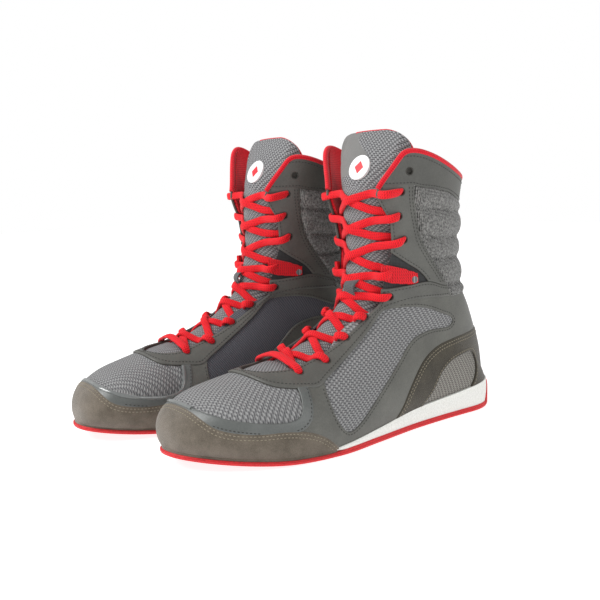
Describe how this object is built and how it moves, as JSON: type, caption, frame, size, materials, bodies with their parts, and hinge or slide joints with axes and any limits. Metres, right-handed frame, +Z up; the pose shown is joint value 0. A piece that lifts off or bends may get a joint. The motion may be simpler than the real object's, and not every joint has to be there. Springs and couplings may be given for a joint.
{
  "type": "pair of boxing boots",
  "caption": "High lace-up boots with mesh and suede uppers, quilted ankles, padded folding tongues and thin flat rubber soles.",
  "frame": {"origin": "middle of the pair's base, on the floor", "axes": "+Z up, -Y towards the toes, +X towards the left boot's outer side"},
  "size_m": [0.2258, 0.3104, 0.226],
  "materials": {
    "mesh": "open sports mesh",
    "leather": "smooth matt",
    "suede": "suede nap",
    "gloss_trim": "gloss",
    "red_lining": "knitted lining",
    "red_lace": "woven",
    "white_foam": "moulded foam",
    "red_rubber": "moulded rubber",
    "white_badge": "soft moulded patch",
    "board": "pressed fibre",
    "webbing": "woven tape"
  },
  "bodies": {
    "left_boot": {"left_ankle_loop_lateral": "red_lace", "left_ankle_loop_medial": "red_lace", "left_ankle_quilt": "mesh", "left_collar_band": "leather", "left_collar_piping": "red_lining", "left_eyestay": "leather", "left_footbed": "red_lining", "left_heel_counter_cover": "suede", "left_heel_mesh_lateral": "mesh", "left_heel_mesh_medial": "mesh", "left_insole_board": "board", "left_lace": "red_lace", "left_lining": "red_lining", "left_midsole": "white_foam", "left_outsole": "red_rubber", "left_quarter_lateral": "leather", "left_quarter_medial": "leather", "left_quarter_mesh_lateral": "mesh", "left_quarter_mesh_medial": "mesh", "left_shaft_eyestay_lateral": "leather", "left_shaft_eyestay_medial": "leather", "left_toe_bumper": "suede", "left_tongue": "mesh", "left_tongue_loop": "webbing", "left_vamp_mesh": "mesh", "left_vamp_trim": "gloss_trim"},
    "left_tongue_flap": {"left_tongue_flap": "mesh", "left_tongue_badge": "white_badge"},
    "right_boot": {"right_ankle_loop_lateral": "red_lace", "right_ankle_loop_medial": "red_lace", "right_ankle_quilt": "mesh", "right_collar_band": "leather", "right_collar_piping": "red_lining", "right_eyestay": "leather", "right_footbed": "red_lining", "right_heel_counter_cover": "suede", "right_heel_mesh_lateral": "mesh", "right_heel_mesh_medial": "mesh", "right_insole_board": "board", "right_lace": "red_lace", "right_lining": "red_lining", "right_midsole": "white_foam", "right_outsole": "red_rubber", "right_quarter_lateral": "leather", "right_quarter_medial": "leather", "right_quarter_mesh_lateral": "mesh", "right_quarter_mesh_medial": "mesh", "right_shaft_eyestay_lateral": "leather", "right_shaft_eyestay_medial": "leather", "right_toe_bumper": "suede", "right_tongue": "mesh", "right_tongue_loop": "webbing", "right_vamp_mesh": "mesh", "right_vamp_trim": "gloss_trim"},
    "right_tongue_flap": {"right_tongue_flap": "mesh", "right_tongue_badge": "white_badge"}
  },
  "joints": [
    {"name": "left_tongue_fold", "type": "hinge", "parent": "left_boot", "child": "left_tongue_flap", "pos_m": [0.05946, 0.0291, 0.184], "axis": [1, 0, 0], "range_deg": [0, 45], "stiffness_Nm_per_rad": 0.05},
    {"name": "right_boot_lift", "type": "slide", "parent": "left_boot", "child": "right_boot", "axis": [0, 0, 1], "range_m": [0, 0.25]},
    {"name": "right_tongue_fold", "type": "hinge", "parent": "right_boot", "child": "right_tongue_flap", "pos_m": [-0.05404, 0.01161, 0.184], "axis": [0.9969, -0.0785, 0], "range_deg": [0, 45], "stiffness_Nm_per_rad": 0.05}
  ]
}
